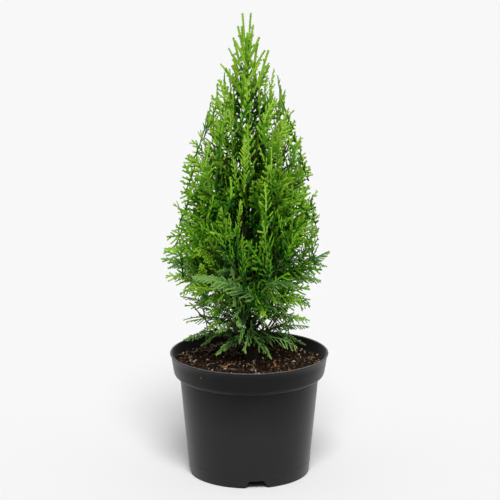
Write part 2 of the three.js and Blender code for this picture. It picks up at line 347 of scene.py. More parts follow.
def pot_profile():
    """Radius and height of the pot's outline, from the middle underneath round to the inside."""
    height, rim, foot, shoulder = POT.height, POT.rim, POT.foot, POT.shoulder
    collar, collar_foot, collar_top = POT.collar, POT.collar_foot, POT.collar_top
    wall, lip, plateau, channel = POT.wall, POT.lip, POT.plateau, POT.channel
    bevel = 0.7
    ridge, ridge_out, ridge_half = 13, 0.22, 0.8  # the faint ridge above the foot
    step = 0.12  # how far the band under the collar stands proud
    band_foot = collar_foot - POT.band
    slope = (shoulder - foot) / collar_foot

    def body(z):
        return foot + slope * z

    def ridged(z):
        return body(z) + ridge_out * math.exp(-(((z - ridge) / ridge_half) ** 2))

    out = [(0, 0), (20, 0), (plateau - 1, 0), (plateau, 0.2), (plateau + bevel, channel)]
    out += [(foot - wall, channel), (foot - wall, 0.2), (foot - bevel, 0), (foot - 0.1, bevel / 2)]
    out += [(body(1.2), 1.2)]
    out += [(ridged(z), z) for z in np.arange(ridge - 2, ridge + 2.1, 0.5)]
    out += [(body(z), z) for z in np.linspace(20, band_foot - 1, 14)]
    band_low = (body(band_foot - 0.6), band_foot - 0.6)
    band_high = (body(band_foot) + step, band_foot + 0.5)
    out += curve(band_low, (body(band_foot), band_foot), band_high, 4)
    band_top = shoulder + step * 0.6
    out += [(band_top, collar_foot - 1.2)]
    turn, turned_up = (collar - 0.6, collar_foot + 0.6), (collar, collar_foot + 5)
    out += curve((band_top + 0.3, collar_foot - 0.2), turn, turned_up, 9)
    out += [(collar + t * (collar_top - collar), collar_foot + 5 + t * 12.5) for t in (0.3, 0.6, 0.9)]
    under_lip = (collar_top, height - 1.6 * lip)
    out += curve(under_lip, (rim - 0.9, height - 1.3 * lip), (rim, height - lip / 2), 6)
    out += curve((rim, height - lip / 2), (rim, height), (rim - lip / 2, height), 6)
    out += curve((rim - lip / 2, height), (rim - lip, height), (rim - lip, height - lip), 6)
    out += [(collar - wall, collar_foot + 6.6), (shoulder, collar_foot + 1.6)]
    out += [(shoulder - wall, collar_foot), (body(10) - wall, channel + wall)]
    out += [(plateau - bevel, channel + wall), (plateau - wall, wall), (0, wall)]
    return np.array(out, float) * MM


def lathe(name, profile, segments):
    """A closed body of revolution, from a profile that starts and ends on the axis."""
    angles = 2 * math.pi * np.arange(segments) / segments
    ring = np.stack([np.cos(angles), np.sin(angles)], -1)
    middle = profile[1:-1]
    around = middle[:, None, 0, None] * ring[None]
    heights = np.repeat(middle[:, 1], segments).reshape(len(middle), segments, 1)
    body = np.concatenate([around, heights], -1).reshape(-1, 3)
    ends = np.array([[0, 0, profile[0, 1]], [0, 0, profile[-1, 1]]])
    count = len(body)
    first = end_fan(count, 0, segments)[:, [1, 0, 2]]
    last = end_fan(count + 1, count - segments, segments)
    quads = ring_quads(len(middle), segments)
    return mesh_from(name, np.concatenate([body, ends]), [quads, first, last])


def pot_cutters():
    """The notches in the skirt and the drain holes, as one mesh to cut with."""
    shape = bmesh.new()
    deep = 4 * POT.wall
    for i in range(NOTCH.count):
        corners = []
        for y in (-POT.foot - deep / 2, -POT.foot + deep / 2):
            for x, z in ((-NOTCH.foot / 2, -0.3), (NOTCH.foot / 2, -0.3),
                         (NOTCH.top / 2, NOTCH.height), (-NOTCH.top / 2, NOTCH.height)):
                turn = math.radians(NOTCH.turn + 360 / NOTCH.count * i)
                cos, sin = math.cos(turn), math.sin(turn)
                place = (x * cos - y * sin, x * sin + y * cos, z)
                corners.append(shape.verts.new([c * MM for c in place]))
        for ring in ((0, 1, 2, 3), (7, 6, 5, 4), (0, 4, 5, 1), (1, 5, 6, 2), (2, 6, 7, 3), (3, 7, 4, 0)):
            shape.faces.new([corners[k] for k in ring])
    for i in range(DRAIN.count):
        angle = 2 * math.pi * (i + 0.5) / DRAIN.count
        made = bmesh.ops.create_cone(shape, cap_ends=True, segments=24, radius1=DRAIN.radius * MM,
                                     radius2=DRAIN.radius * MM, depth=deep * MM)
        middle = Vector((math.cos(angle), math.sin(angle), 0)) * DRAIN.circle * MM
        middle.z = (POT.channel + POT.wall / 2) * MM
        bmesh.ops.translate(shape, verts=made["verts"], vec=middle)
    bmesh.ops.recalc_face_normals(shape, faces=shape.faces)
    return mesh_of(shape, "cutters")


def cut(mesh, cutter_mesh):
    """The mesh less the cutter."""
    body, cutter = placed("body", mesh), placed("cutter", cutter_mesh)
    boolean = body.modifiers.new("cut", "BOOLEAN")
    boolean.object = cutter
    boolean.operation = "DIFFERENCE"
    boolean.solver = "EXACT"
    result = bpy.data.meshes.new_from_object(body.evaluated_get(bpy.context.evaluated_depsgraph_get()))
    bpy.data.objects.remove(body)
    bpy.data.objects.remove(cutter)
    return result


def pot_plastic():
    """Black moulded plastic: satin, a little dusty, painted lighter towards the foot as the floor's
    reflection and darker up under the collar as shade, and worn paler along the lip, partly as a painted
    highlight.
    """
    # The second colour is a little dust, and mostly the painted reflection of the white floor on the
    # lower wall.
    black, dust_and_floor_reflection, worn_and_highlight = (0.001, 0.001, 0.0012), (0.0165, 0.0158, 0.0162), (0.22, 0.21, 0.19)
    material, tree, shader = principled("pot_plastic", black, 0.45, 0.17)
    shader.inputs["Sheen Weight"].default_value = 0.1
    shader.inputs["Sheen Roughness"].default_value = 0.4
    dust = noise_node(tree, 30, 6, (1, 1, 0.8))
    height = height_of(tree)
    low = ranged(tree, height, 108 * MM, 48 * MM)  # painted reflection of the floor: lighter towards the foot, darker up under the collar
    # The dust's noise and the painted floor reflection, together.
    dust_and_reflection = math_node(tree, "MULTIPLY_ADD", dust.outputs["Fac"], 0.3, low)
    # Paler along the top of the lip: partly wear and scuffs, partly a painted highlight on the rim.
    lip = ranged(tree, height, (POT.height - 1.1) * MM, (POT.height - 0.1) * MM)
    scuff_and_highlight_mask = math_node(tree, "MULTIPLY", lip, noise_node(tree, 300, 4).outputs["Fac"])
    clean, scuffs_and_highlight = color_mix(tree, scuff_and_highlight_mask, shader.inputs["Base Color"])
    color_by(tree, dust_and_reflection, [(0.1, black), (1.0, dust_and_floor_reflection)], clean)
    scuffs_and_highlight.default_value = (*worn_and_highlight, 1)
    rough = ranged(tree, dust.outputs["Fac"], 0.0, 1.0, 0.30, 0.44)
    tree.links.new(rough, shader.inputs["Roughness"])
    bump_by(tree, noise_node(tree, 900, 2), shader, 0.12, 0.1 * MM)
    return material


def build_pot():
    """The pot's wall, cut with its notches and drain holes."""
    mesh = cut(lathe("pot_wall", pot_profile(), POT.segments), pot_cutters())
    mesh.set_sharp_from_angle(angle=math.radians(38))
    new_object("pot_wall", mesh, pot_plastic(), "pot_plastic", "pot")


# ---- soil

SOIL_TOP = node_points("soil")[:, 2].max()
SOIL_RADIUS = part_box("soil")[1][0]
SOIL_FALL = 2.2 * MM  # how much lower the soil lies at the pot's wall than round the trunk
SOIL_DEPTH = 9 * MM  # of the disc that shows
SOIL_LUMPS = ((1.6, 90, 1), (1.2, 200, 4), (0.6, 520, 7))  # height in mm, number to a metre, seed


def soil_height(x, y):
    """The soil's surface: a low mound with lumps of several sizes."""
    out = min(1.0, math.hypot(x, y) / SOIL_RADIUS)
    lumps = sum(high * noise_at(x * often, y * often, seed) for high, often, seed in SOIL_LUMPS)
    return SOIL_TOP - SOIL_FALL * out**2 + lumps * MM * (1 - 0.5 * out**6)


def soil_mesh():
    """The soil's top as a fine disc, closed underneath by a shallow bowl."""
    rings, segments = 72, 260
    radii = SOIL_RADIUS * (np.arange(1, rings + 1) / rings)
    angles = 2 * math.pi * np.arange(segments) / segments
    top = [[r * math.cos(a), r * math.sin(a)] for r in radii for a in angles]
    top = np.array([[x, y, soil_height(x, y)] for x, y in top])
    low = top[-segments:].copy()
    low[:, 2] = SOIL_TOP - SOIL_DEPTH
    centre = np.array([[0, 0, soil_height(0, 0)], [0, 0, SOIL_TOP - SOIL_DEPTH]])
    count = segments * (rings + 1)
    quads = ring_quads(rings + 1, segments)[:, [0, 3, 2, 1]]
    first = end_fan(count, 0, segments)
    last = end_fan(count + 1, segments * rings, segments)[:, [1, 0, 2]]
    return mesh_from("soil_top", np.concatenate([top, low, centre]), [quads, first, last])


def lump_shape(level):
    """Vertices and faces of a ball of triangles, to be knocked out of round."""
    shape = bmesh.new()
    bmesh.ops.create_icosphere(shape, subdivisions=level, radius=1)
    vertices = np.array([v.co for v in shape.verts])
    faces = np.array([[v.index for v in f.verts] for f in shape.faces])
    shape.free()
    return vertices, faces


def lump_mesh(name, rng, places, sizes, flatness, uneven, level):
    """Lumps of many shapes joined into one mesh: a place and a radius for each."""
    ball, faces = lump_shape(level)
    vertices = []
    for place, size in zip(places, sizes):
        spin = unit(rng.normal(size=(3, 3)))
        spin[1] = unit(spin[1] - spin[0] * (spin[0] @ spin[1]))
        spin[2] = np.cross(spin[0], spin[1])
        stretch = np.array([1.25, 1.0, flatness]) * rng.uniform(0.8, 1.2, 3)
        knocked = ball * (1 + rng.uniform(-uneven, uneven, (len(ball), 1))) * stretch
        vertices.append(knocked @ spin * size + place)
    faces = (faces[None] + len(ball) * np.arange(len(vertices))[:, None, None]).reshape(-1, 3)
    return mesh_from(name, np.concatenate(vertices), [faces], smooth=False)


def soil_places(rng, count, sink, inner=8 * MM, outer=None, middle=0.0, spread=math.pi):
    """Random places on the soil, between two radii and round the azimuth `middle`."""
    outer = outer or SOIL_RADIUS - 1.5 * MM
    radii = np.sqrt(rng.uniform(inner**2, outer**2, count))
    angles = middle + rng.uniform(-spread, spread, count)
    spots = [(r * math.cos(a), r * math.sin(a)) for r, a in zip(radii, angles)]
    return np.array([[x, y, soil_height(x, y) + sink] for x, y in spots])


def scatter(name, rng, places, low, high, flatness, uneven, level, material, slot="peat"):
    """Lumps at the places, mostly small: their radii go from low to high."""
    sizes = low + (high - low) * rng.random(len(places)) ** 2
    mesh = lump_mesh(name, rng, places, sizes, flatness, uneven, level)
    return new_object(name, mesh, material, slot)


def build_soil():
    """The soil's top with the crumbs, bark, perlite, fibres and moss that lie on it."""
    rng = np.random.default_rng(5)
    perlite_side, fibre_side = rng.uniform(-math.pi, math.pi, 2)
    peat = mottled("peat", (0.009, 0.006, 0.0042), 0.95, 0.1, 260, 1.2 * MM, low=0.1, high=2.6)
    new_object("soil_top", soil_mesh(), peat, "peat", "soil")
    crumb = mottled("peat_crumb", (0.017, 0.0095, 0.0057), 0.95, 0.1, 300, 0.4 * MM, low=0.15, high=3.0)
    places = soil_places(rng, 900, 0.2 * MM)
    scatter("peat_crumbs", rng, places, 0.7 * MM, 3.0 * MM, 0.7, 0.28, 2, crumb)
    brown = mottled("wood_bits", (0.155, 0.078, 0.036), 0.85, 0.2, 300, 0.3 * MM, low=0.3, high=2.2)
    places = soil_places(rng, 620, 0.9 * MM)
    scatter("bark_bits", rng, places, 0.5 * MM, 1.9 * MM, 0.4, 0.3, 1, brown)
    white = mottled("perlite", (0.62, 0.55, 0.46), 0.8, 0.3, 700, 0.2 * MM, low=0.75, high=1.1)
    near_rim = soil_places(rng, 26, 0.9 * MM, 52 * MM, None, perlite_side, 0.5)
    places = np.concatenate([soil_places(rng, 130, 0.9 * MM), near_rim])
    scatter("perlite", rng, places, 0.35 * MM, 1.35 * MM, 0.75, 0.25, 2, white)
    fibres, moss = [], []
    strewn = soil_places(rng, 60, 1.0 * MM)
    gathered = soil_places(rng, 50, 1.0 * MM, 40 * MM, None, fibre_side, 0.6)
    for place in np.concatenate([strewn, gathered]):
        add_fibre(rng, fibres, place)
    sides = (perlite_side - 0.35, perlite_side, fibre_side)
    spots = [soil_places(rng, 5, 0.5 * MM, 64 * MM, None, side, 0.3) for side in sides]
    spots.append(soil_places(rng, 12, 0.5 * MM, 40 * MM))
    for place in np.concatenate(spots):
        add_moss(rng, moss, place)
    straw = mottled("straw", (0.4, 0.32, 0.2), 0.8, 0.2, 500, 0.1 * MM)
    new_object("fibres", strand_mesh("fibres", fibres, 5), straw, "peat")
    olive = mottled("moss", (0.12, 0.15, 0.03), 0.9, 0.1, 500, 0.1 * MM, low=0.6, high=1.4)
    new_object("moss", strand_mesh("moss", moss, 3), olive, "foliage_skirt")


def add_fibre(rng, store, place):
    """A thin pale root or straw that lies on the soil in a bend."""
    length = rng.uniform(3, 11) * MM
    angle = rng.uniform(0, 2 * math.pi)
    way = np.array([math.cos(angle), math.sin(angle), rng.uniform(-0.1, 0.35)]) * length
    bend = np.cross(way, UP) * rng.uniform(-0.5, 0.5) + UP * rng.uniform(0.5, 2) * MM
    points, _ = bezier(place, place + way / 2 + bend, place + way, np.linspace(0, 1, 7))
    radii = np.linspace(1, 0.5, 7) * rng.uniform(0.16, 0.34) * MM
    keep_strand(store, points, np.tile(UP, (7, 1)), radii, radii)


def add_moss(rng, store, place):
    """A tuft of short green blades."""
    for _ in range(60):
        foot = place + np.append(rng.normal(0, 2.1 * MM, 2), 0)
        foot[2] = soil_height(*foot[:2]) - 0.3 * MM
        if math.hypot(*foot[:2]) > SOIL_RADIUS - 1 * MM:
            continue
        tip = foot + np.append(rng.normal(0, 0.7 * MM, 2), rng.uniform(0.8, 2.2) * MM)
        points = np.linspace(foot, tip, 3)
        radii = np.array([0.32, 0.26, 0.0]) * MM
        keep_strand(store, points, np.tile([1.0, 0, 0], (3, 1)), radii, radii)


# ---- the greens

# The greens of the scale leaves, as lit and shaded copies: from the yellowish growing tips, lit
# brightest, down to the painted shade of the crown's inside, and the bluish ones of the lowest
# sprays in three lit and shaded copies, each with the record's slot that it belongs to.
GREENS = {
    "tip": ((0.265, 0.48, 0.034), "foliage_leader"),
    "bright": ((0.172, 0.375, 0.018), "foliage_top"),
    "fresh": ((0.098, 0.280, 0.008), "foliage_upper"),
    "mid": ((0.045, 0.178, 0.004), "foliage_middle"),
    "deep": ((0.014, 0.090, 0.003), "foliage_lower"),
    "shade": ((0.005, 0.046, 0.002), "foliage_lower"),
    "cool_light": ((0.182, 0.355, 0.082), "foliage_skirt"),
    "cool": ((0.090, 0.208, 0.042), "foliage_skirt"),
    "cool_deep": ((0.034, 0.09, 0.014), "foliage_skirt"),
}
WARM_TONES = [tone for tone in GREENS if "cool" not in tone]
COOL_TONES = [tone for tone in GREENS if "cool" in tone]
LEAVES = {tone: [] for tone in GREENS}  # the strands of each green
TWIGS = []  # thin woody strands

# ---- strands


def keep_strand(store, points, flats, widths, thicks):
    """Keeps one tapering strand: its points, the way its flat side faces, half sizes at each."""
    store.append((points, flats, widths, thicks))


def strand_mesh(name, strands, sides=4):
    """Joins strands into one mesh. The last point of each is its tip, and its foot is closed."""
    angles = 2 * math.pi * np.arange(sides) / sides
    across, through = np.cos(angles), np.sin(angles)
    vertices, quads, tips, feet = [], [], [], []
    start = 0
    for points, flats, widths, thicks in strands:
        tangents = unit(np.gradient(points, axis=0))
        side = unit(np.cross(flats, tangents))
        face = np.cross(tangents, side)
        n = len(points) - 1
        ring = (
            points[:n, None]
            + side[:n, None] * (across[None, :, None] * widths[:n, None, None])
            + face[:n, None] * (through[None, :, None] * thicks[:n, None, None])
        )
        vertices.append(ring.reshape(-1, 3))
        vertices.append(points[n:])
        quads.append(ring_quads(n, sides) + start)
        tip = start + sides * n
        tips.append(end_fan(tip, tip - sides, sides))
        feet.append(start + np.arange(sides)[None, ::-1])
        start = tip + 1
    faces = [np.concatenate(some) for some in (quads, feet, tips)]
    return mesh_from(name, np.concatenate(vertices), faces, smooth=False)


def triangles_in(strands, sides=4):
    """How many triangles the strands' mesh will have."""
    return sum(2 * sides * (len(points) - 1) for points, *_ in strands)


def tone_at(level, cool):
    """The green for a painted brightness, from 0, painted shade, to 1, a lit growing tip."""
    tones = COOL_TONES if cool else WARM_TONES
    index = int((1 - min(max(level, 0.0), 0.999)) * len(tones))
    return tones[min(index, len(tones) - 1)]


def paint_strand(points, face, half, thick, inner, outer, cool):
    """Keeps a strand in two greens, if its inner and outer parts differ in painted brightness."""
    tones = tone_at(inner, cool), tone_at(outer, cool)
    at = len(points) // 2
    if tones[0] == tones[1] or at < 2 or len(points) - at < 2:
        keep_strand(LEAVES[tones[1]], points, face, half, thick)
        return
    foot = np.concatenate([points[: at + 1], points[at : at + 1] + (points[at] - points[at - 1]) * 0.1])
    again = np.append(np.arange(at + 1), at)
    keep_strand(LEAVES[tones[0]], foot, face[again], half[again], thick[again])
    keep_strand(LEAVES[tones[1]], points[at:], face[at:], half[at:], thick[at:])


# ---- the flat plume

LEAF = Sizes(
    pitch=3.2 * MM,  # length of one pair of scale leaves
    flare=0.74,  # where along a pair it is widest
    narrow=0.80,
    wide=1.12,
    half_width=(1.25 * MM, 1.08 * MM, 0.97 * MM),  # by order of branching
    half_thick=0.55 * MM,
    angles=(math.radians(49), math.radians(43)),  # of a branchlet to its parent
    forward=0.36,  # share of its angle that a branchlet bends back towards the tip
    teeth=2.8 * MM,  # how far apart the smallest branchlets stand
    least=2.8 * MM,  # the shortest branchlet
)
# How plumes change with height above the floor: the rise of their tips in degrees, how much
# steeper they start, how long their branchlets are as a share of the plume and the branchlets'
# own ones as a share of them, how far apart they stand in millimetres, what share of the plumes
# are combs, whose branchlets are short and close and have none of their own, how much longer the
# branchlets on the outer side are, how wide the strands are, and how bright the green is painted,
# which is partly the yellowish young growth at the top and partly painted light, brighter upwards.
ZONES = {
    "height": np.array([125, 165, 205, 235, 265, 300, 340, 380, 420, 460, 495]),
    "rise": [-38, -20, -8, 8, 22, 34, 42, 52, 64, 74, 84],
    "arch": [34, 30, 30, 34, 36, 36, 32, 26, 16, 8, 5],
    "reach": [0.30, 0.32, 0.34, 0.37, 0.37, 0.36, 0.35, 0.33, 0.30, 0.26, 0.22],
    "second": [0.16, 0.18, 0.22, 0.25, 0.28, 0.30, 0.32, 0.32, 0.33, 0.34, 0.35],
    "gap": [4.6, 4.6, 5.0, 5.4, 5.6, 5.6, 5.5, 5.1, 4.6, 4.3, 5.0],
    "comb": [0.6, 0.6, 0.5, 0.5, 0.45, 0.35, 0.22, 0.15, 0.1, 0, 0],
    "lean": [0.35, 0.35, 0.3, 0.15, 0.1, 0.1, 0.1, 0.1, 0.05, 0, 0],
    "slim": [0.68, 0.72, 0.78, 0.88, 0.96, 1.0, 1.0, 0.98, 0.97, 1.0, 1.14],
    "light": [0.66, 0.70, 0.69, 0.69, 0.68, 0.69, 0.73, 0.84, 0.96, 1.0, 1.0],
}
COMB = {"gap": 2.3 * MM, "reach": 0.20, "second": 0.0}
STEEPER_FACE_ON = math.radians(26)  # how much steeper plumes rise that point to the front or back
COOL_BELOW = (145, 295)  # plumes are bluish below the first height, and none is above the second


def zone_at(z):
    """The plume's form at the height z."""
    form = {key: float(np.interp(z / MM, ZONES["height"], values)) for key, values in ZONES.items()}
    form["rise"], form["arch"] = math.radians(form["rise"]), math.radians(form["arch"])
    form["gap"] *= MM
    return form


def form_of(rng, z):
    """The form of one plume at the height z, which may be a comb."""
    form = zone_at(z)
    if rng.random() < form["comb"]:
        form.update(COMB)
    return form


def stations(length):
    """Places along a branchlet, narrow and wide by turns, and how wide it is at each."""
    pairs = max(1, round(length / LEAF.pitch))
    step = length / pairs
    foot = np.arange(pairs) * step
    places = np.stack([foot, foot + LEAF.flare * step], -1).ravel()
    sizes = np.tile([LEAF.narrow, LEAF.wide], pairs)
    return np.append(places, length), np.append(sizes, 0.0)


def plume_parts(rng, form, length):
    """The branchlets of one plume: order, u along its axis, v across, w out of it, half widths."""
    parts = []

    def grow(order, foot, heading, lift, reach):
        places, sizes = stations(reach)
        turn = heading * (1 - LEAF.forward * places / reach)
        steps = np.diff(places, prepend=0)
        us = foot[0] + np.cumsum(np.cos(turn) * steps)
        vs = foot[1] + np.cumsum(np.sin(turn) * steps)
        ws = foot[2] + lift * places
        taper = 1 - 0.15 * places / reach
        parts.append((order, us, vs, ws, LEAF.half_width[order] * sizes * taper * form["slim"]))
        if order == 2:
            return
        gap = (form["gap"], LEAF.teeth)[order]
        place = gap * rng.uniform(0.7, 1.3)
        side = rng.choice((-1, 1))
        share_of = form["reach"] if order == 0 else form["second"]
        while place < reach - 2.5 * MM:
            share = place / reach
            swell = min(1, 0.45 + 2.2 * share) * (1 - share) ** 0.55
            child = share_of * reach * swell * rng.uniform(0.8, 1.2)
            child *= 1 + side * form["lean"] * (order == 0)
            child = min(child, 0.9 * (reach - place) + 1.5 * MM)
            if child > LEAF.least:
                here = [np.interp(place, places, values) for values in (us, vs, ws)]
                off = side * LEAF.angles[order] * rng.uniform(0.8, 1.2)
                towards = np.interp(place, places, turn) + off
                grow(order + 1, here, towards, lift + rng.normal(0, 0.2), child)
            side = -side
            place += gap * (1 - 0.45 * share * (order == 0)) * rng.uniform(0.8, 1.2)

    grow(0, (0.0, 0.0, 0.0), 0.0, 0.0, length)
    return parts


def grow_plume(rng, base, heading, tip, facing, form, light, cool=False, gaps=True, fade=0.42):
    """Grows a flat plume from base, off along heading, to tip. Its flat side faces `facing`."""
    span = np.linalg.norm(tip - base)
    knee = base + heading * span * 0.5
    length = span * 1.04
    twist = rng.uniform(-0.5, 0.5)
    curl = rng.uniform(-0.3, 0.5)
    middle = bezier(base, knee, tip, [0.6])[0][0]
    if gaps and in_gap(middle):
        return
    for order, u, v, w, half in plume_parts(rng, form, length):
        share = u / length
        points, tangents = bezier(base, knee, tip, share)
        face = unit(facing - tangents * (tangents @ facing)[:, None])
        side = np.cross(tangents, face)
        turn = (twist * (share - 0.5))[:, None]
        face, side = face * np.cos(turn) + side * np.sin(turn), side * np.cos(turn) - face * np.sin(turn)
        points = points + side * v[:, None] + face * (w + curl * v**2 / length)[:, None]
        if order and gaps and in_gap(points[-1]):
            continue
        thick = np.full(len(u), LEAF.half_thick * form.get("round", 1)) * np.where(half > 0, 1, 0)
        # Painted light and shade: brighter towards the plume's tip and each branchlet's tip, darker at
        # their feet, and darker still by painted shade deeper in the crown.
        here = light + fade * (share - 0.7) + rng.normal(0, 0.09) - shade_at(points[len(u) // 2])
        darker, brighter = (0.07, 0.12) if order else (0.06, 0.02)
        paint_strand(points, face, half, thick, here[0] - darker, here[-1] + brighter, cool)


# ---- the crown

SHOOTS_FROM = 436 * MM  # above this height single leading shoots take over from the plumes
SKIRT_BELOW = 205 * MM  # below this height the sprays hang in layers
PLUME_SPACING = 16.5 * MM  # between the places on the masses that plumes grow to
SHOOT_SPACING = 13 * MM  # the same for the shoots
INSIDE_PLUMES = 110
CROWN_FOOT = CROWN_POINTS[:, 2].min()
GOLDEN_ANGLE = math.pi * (3 - math.sqrt(5))  # spreads things evenly round the trunk
# The gaps: above which noise the crown's outer side is open, how often the noise changes round
# the trunk, its size upwards, its seed, and how far in the gaps go, as a share of the reach.
GAP = Sizes(noise=0.46, often=2.6, tall=26 * MM, seed=5, inner=0.2)
SHADE_DEPTH = 40 * MM  # how far inside the crown the painted shade is full
HEIGHTS = np.arange(0.10, 0.51, 0.004)
REACHES = np.array([crown_reach(z) for z in HEIGHTS])


def reach_at(z):
    """The crown's reach at the height z, from the table above."""
    return float(np.interp(z, HEIGHTS, REACHES))


def in_gap(point):
    """Whether a point lies in one of the gaps strewn over the crown's outer side."""
    out, reach = outward_at(point)
    if reach < GAP.inner * reach_at(point[2]):
        return False
    x, y = out[:2] * GAP.often
    return noise_at(x + GAP.seed, y, point[2] / GAP.tall) > GAP.noise


def shade_at(point):
    """How much painted shade darkens the green at a point, from its depth in the crown."""
    most = float(np.interp(point[2] / MM, [170, 240, 330, 400], [0.16, 0.30, 0.26, 0.05]))
    out = np.linalg.norm(point[:2] - trunk_at(point[2])[:2])
    return most * min(max((reach_at(point[2]) - 8 * MM - out) / SHADE_DEPTH, 0), 1)


def surface_targets(rng, name, spacing, taken, low, high):
    """Points on a mass's outer side between two heights, no nearer than `spacing` to each other."""
    triangles = node_triangles(name)
    normals = np.cross(triangles[:, 1] - triangles[:, 0], triangles[:, 2] - triangles[:, 0])
    areas = np.linalg.norm(normals, axis=1) / 2
    middles = triangles.mean(1)
    outward = middles - trunk_at(middles[:, 2])
    facing = np.einsum("ij,ij->i", unit(normals), unit(outward))
    weights = areas * (facing > 0.05)
    tips = node_points(name)
    found = [tips[tips[:, 2].argmax()]]
    for _ in range(1500):
        corner = triangles[rng.choice(len(triangles), p=weights / weights.sum())]
        a, b = rng.random(2)
        if a + b > 1:
            a, b = 1 - a, 1 - b
        point = corner[0] + a * (corner[1] - corner[0]) + b * (corner[2] - corner[0])
        near = np.linalg.norm(np.array(taken + found) - point, axis=1).min()
        if near > spacing:
            found.append(point)
    taken.extend(found)
    return [p for p in found if low < p[2] < high]


def outward_at(point):
    """The level way out from the trunk at a point, and how far out it is."""
    offset = point - trunk_at(point[2])
    offset[2] = 0
    return unit(offset), np.linalg.norm(offset)


def limb_strand(start, knee, end, foot_radius, tip_radius, step=3 * MM):
    """A thin limb from start to end: woody, or green near the top."""
    count = max(3, int(np.linalg.norm(end - start) / step))
    points, tangents = bezier(start, knee, end, np.linspace(0, 1, count))
    radii = np.linspace(foot_radius, tip_radius, count)
    radii[-1] = 0
    helper = UP if abs(tangents[0] @ UP) < 0.9 else np.array([1.0, 0, 0])
    store = TWIGS if end[2] < 370 * MM else LEAVES["mid"]
    keep_strand(store, points, np.tile(helper, (count, 1)), radii, radii)


def limb_to(start, base, way, sag, past, foot_radius, tip_radius=0.6 * MM):
    """A thin limb that sags on its way from start to just past a plume's base."""
    limb_strand(start, (start + base) / 2 - sag * UP, base + past * way, foot_radius, tip_radius)


def way_at(out, swing, rise):
    """The way `rise` above level, swung sideways from `out`."""
    level = out * math.cos(swing) + np.cross(UP, out) * math.sin(swing)
    return level * math.cos(rise) + UP * math.sin(rise)


def spine_of(name):
    """The limb that goes on from a mass's bough through its inside: its points."""
    points = node_points(name)
    centre = points.mean(0)
    top = points[points[:, 2].argmax()]
    entry = bough_line(name.replace("mass_", "bough_"))[-1]
    return bezier(entry, centre, centre + 0.55 * (top - centre), np.linspace(0, 1, 12))[0]


def facing_for(rng, way, loose):
    """The way a plume's flat side faces: upwards, turned at random about its own way."""
    return turned(unit(np.cross(way, UP)), way, rng.normal(0, loose))


def is_cool(rng, z):
    """Whether a plume at the height z is bluish."""
    return rng.random() > np.interp(z / MM, COOL_BELOW, [0, 1])


def grow_mass(rng, name, taken):
    """Plumes and twigs for one mass, which grow from the spine inside it."""
    spine = spine_of(name)
    own = rng.normal(0, 0.06)
    for target in surface_targets(rng, name, PLUME_SPACING, taken, SKIRT_BELOW, SHOOTS_FROM):
        out, reach = outward_at(target)
        tip = target + out * rng.uniform(-5, 3) * MM
        form = form_of(rng, tip[2])
        swing = rng.normal(0, 0.35)
        face_on = max(0, abs(out[1]) - 0.25) / 0.75 * np.interp(tip[2], [200 * MM, 260 * MM], [0, 1])
        rise = min(form["rise"] + STEEPER_FACE_ON * face_on + rng.normal(0, 0.2), 1.5)
        way = way_at(out, swing, rise)
        start_way = way_at(out, swing, rise + form["arch"] * (1 - 0.5 * face_on))
        length = float(np.clip(rng.normal(0.6, 0.1), 0.4, 0.8)) * (reach + 38 * MM)
        length = min(length, 78 * MM)
        base = tip - length * unit(way + 0.6 * start_way)
        base[2] = max(base[2], TRUNK_FOOT + 10 * MM)
        facing = facing_for(rng, way, 0.5)
        patch = 0.12 * noise_at(*(tip / (42 * MM)))
        light = form["light"] + own + patch + rng.normal(0, 0.06)
        grow_plume(rng, base, start_way, tip, facing, form, light, is_cool(rng, tip[2]))
        nearest = int(np.linalg.norm(spine - base, axis=1).argmin())
        limb_to(spine[nearest], base, start_way, 3 * MM, 4 * MM, 0.8 * MM)


def grow_inside(rng):
    """Shorter plumes nearer the trunk, painted in shaded greens, which close the crown's inside."""
    for _ in range(INSIDE_PLUMES):
        z = rng.uniform(TRUNK_FOOT + 30 * MM, TRUNK_TOP - 70 * MM)
        angle = rng.uniform(0, 2 * math.pi)
        out = level_at(angle)
        form = zone_at(z)
        way = way_at(out, 0, min(form["rise"], 0.9) + rng.normal(0, 0.2))
        base = trunk_at(z) + out * rng.uniform(2, 8) * MM
        tip = base + way * 0.6 * crown_reach(z) * rng.uniform(0.6, 1.0)
        facing = facing_for(rng, way, 0.8)
        grow_plume(rng, base, way, tip, facing, form, 0.5 + rng.normal(0, 0.06), z < SKIRT_BELOW)


# The skirt: how many layers, how many sprays in each, how far above the crown's foot the lowest
# layer's tips are, and how far out as a share of the crown's reach.
SKIRT = Sizes(layers=5, sprays=13, above_foot=20 * MM, reach=0.86)


def grow_skirt(rng):
    """Long thin sprays that leave the trunk's foot, arch out and hang at their tips."""
    count = SKIRT.sprays
    for height in np.linspace(SKIRT_BELOW, CROWN_FOOT + SKIRT.above_foot, SKIRT.layers) / MM:
        reach = SKIRT.reach * reach_at(height * MM) / MM
        for i in range(count):
            angle = math.pi + 2 * math.pi * (i + rng.uniform(-0.2, 0.2)) / count
            out = level_at(angle)
            z = (height + rng.normal(0, 3)) * MM
            form = form_of(rng, z)
            tip = trunk_at(z) + out * (reach + rng.normal(-2, 4)) * MM
            rise = form["rise"] + rng.normal(0, 0.15)
            way, start_way = way_at(out, 0, rise), way_at(out, rng.normal(0, 0.2), rise + form["arch"])
            length = rng.uniform(42, 62) * MM
            base = tip - min(length, 0.85 * reach * MM) * unit(way + 0.8 * start_way)
            facing = facing_for(rng, way, 0.45)
            light = form["light"] + rng.normal(0, 0.12)
            grow_plume(rng, base, start_way, tip, facing, form, light, is_cool(rng, z))
            foot = trunk_at(max(base[2] - 14 * MM, TRUNK_FOOT + 4 * MM))
            limb_to(foot, base, start_way, 2 * MM, 4 * MM, 1.0 * MM)


# The plumes that stand out: how many, how far out as a share of the crown's reach, above and in
# the skirt, their rise, how much of it those in the skirt hang, and between which heights they start.
OUTER = Sizes(count=50, share=0.82, skirt_share=0.62, rise=(38 * MM, 62 * MM), hang=0.7,
              above_foot=42 * MM, below_shoots=50 * MM)


